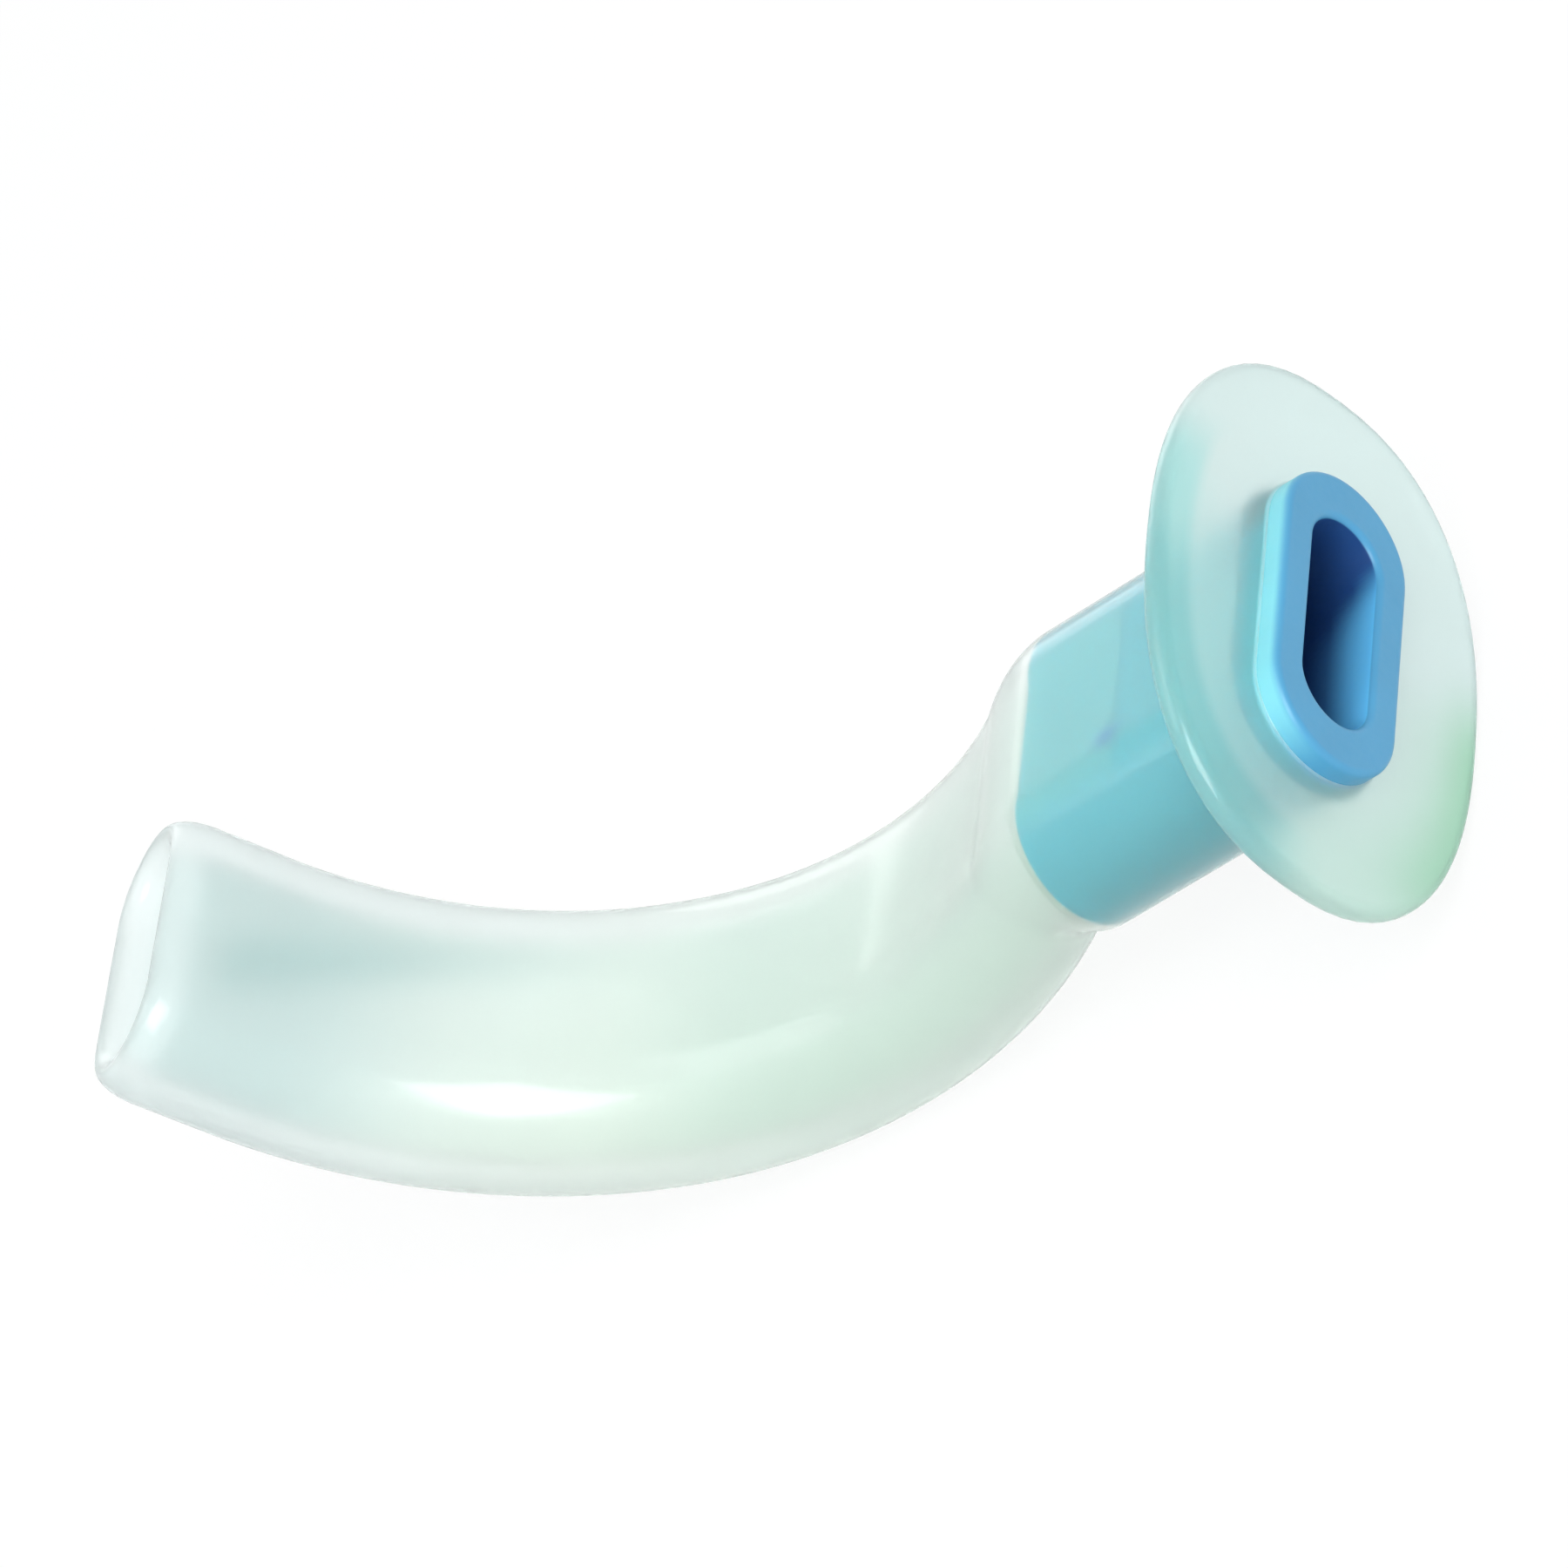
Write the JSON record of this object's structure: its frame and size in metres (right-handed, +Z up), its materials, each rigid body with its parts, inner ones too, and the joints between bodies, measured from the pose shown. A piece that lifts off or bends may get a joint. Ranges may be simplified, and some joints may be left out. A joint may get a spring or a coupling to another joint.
{
  "type": "oropharyngeal airway",
  "caption": "Curved soft airway tube with an oval flange, moulded over a rigid bite block whose rim frames a slot-shaped bore; it keeps the tongue clear of the throat.",
  "frame": {"origin": "centre of the base of the box round the part as it lies on a table", "axes": "+Z up as it lies on the outside of its bend, +Y from the flange towards the tip in plan, +X across the bore's wide way, about which the part is symmetric"},
  "size_m": [0.0266, 0.0568, 0.0239],
  "materials": {
    "soft_clear": "milky translucent soft elastomer with a satin skin",
    "blue_plastic": "fine satin moulded polypropylene"
  },
  "bodies": {
    "root": {"airway_body": "soft_clear", "bite_block": "blue_plastic"}
  },
  "joints": []
}
